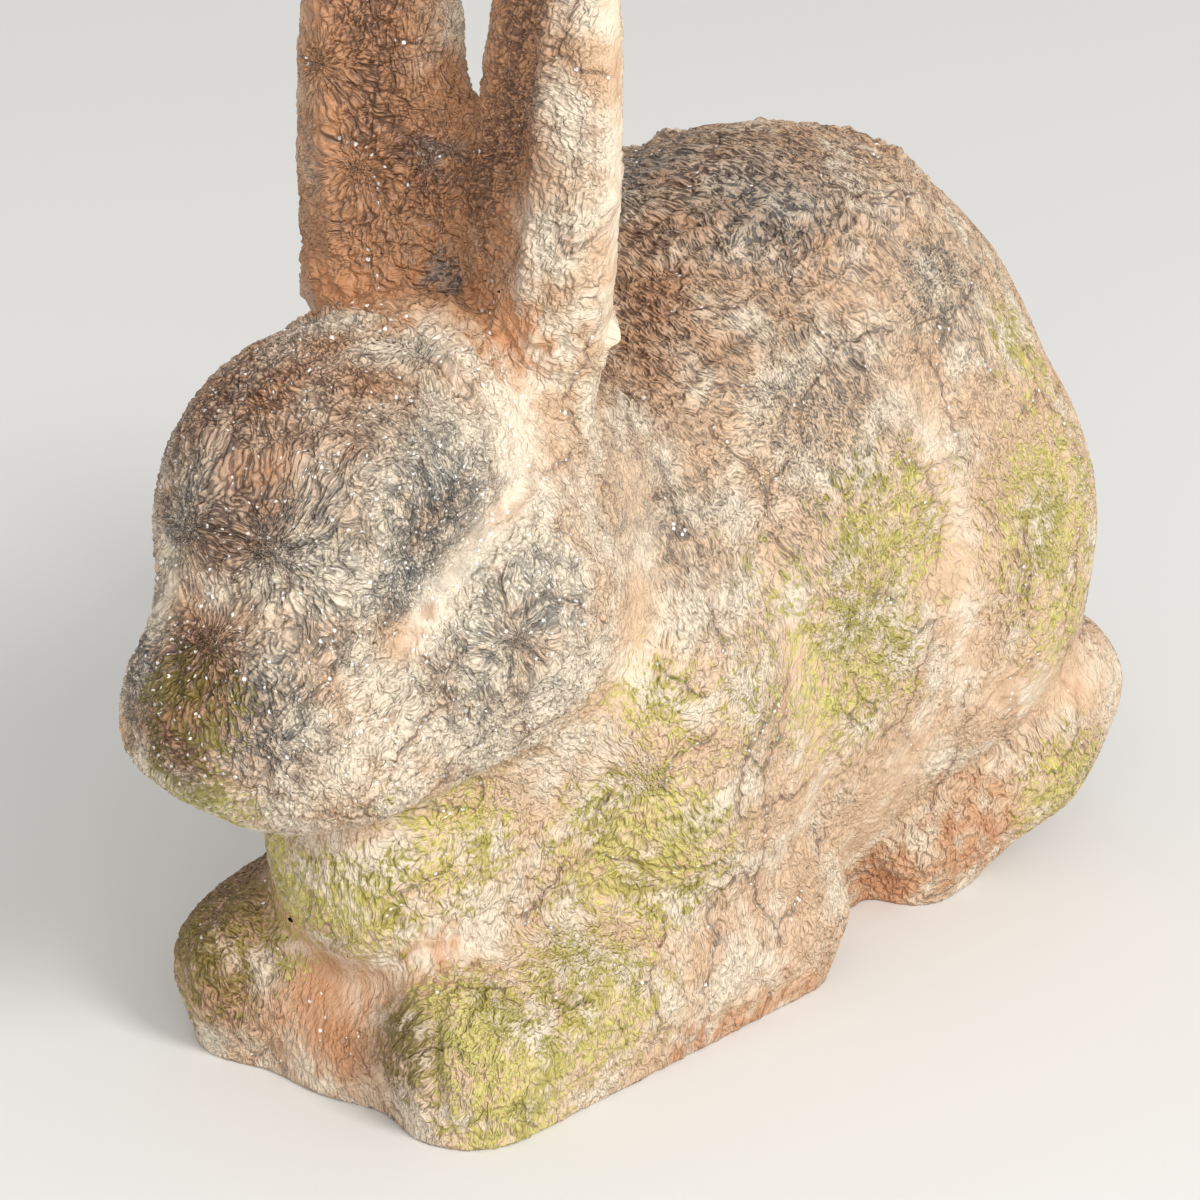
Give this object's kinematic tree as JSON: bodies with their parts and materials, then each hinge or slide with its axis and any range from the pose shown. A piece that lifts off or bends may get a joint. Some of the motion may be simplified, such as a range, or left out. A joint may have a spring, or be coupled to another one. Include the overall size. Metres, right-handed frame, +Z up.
{
  "type": "garden rabbit statue",
  "caption": "Hollow cast garden rabbit lying with its forepaws stretched ahead and tall ears upright, standing on a flat underside.",
  "frame": {"origin": "middle of the outer box, on the ground that the statue stands on", "axes": "+Z up, the nose points to -Y and the rabbit's left side is +X"},
  "size_m": [0.1782, 0.339, 0.3255],
  "materials": {
    "coated_casting": "cast stone under a raised, brushed masonry coat of cream and peach, washed with slate blue, umber, burgundy and moss green",
    "mortar": "matt jointing mortar",
    "slab_cement": "trowelled terracotta-tinted cement, matt",
    "dowel_steel": "galvanised round bar"
  },
  "bodies": {
    "root": {"shell_left": "coated_casting", "shell_right": "coated_casting", "seam_mortar": "mortar", "ear_left": "coated_casting", "ear_right": "coated_casting", "ear_seam_mortar": "mortar", "ear_bed_mortar": "mortar", "ear_dowel_left": "dowel_steel", "ear_dowel_right": "dowel_steel", "base_slab": "slab_cement", "slab_bed_mortar": "mortar"}
  },
  "joints": []
}
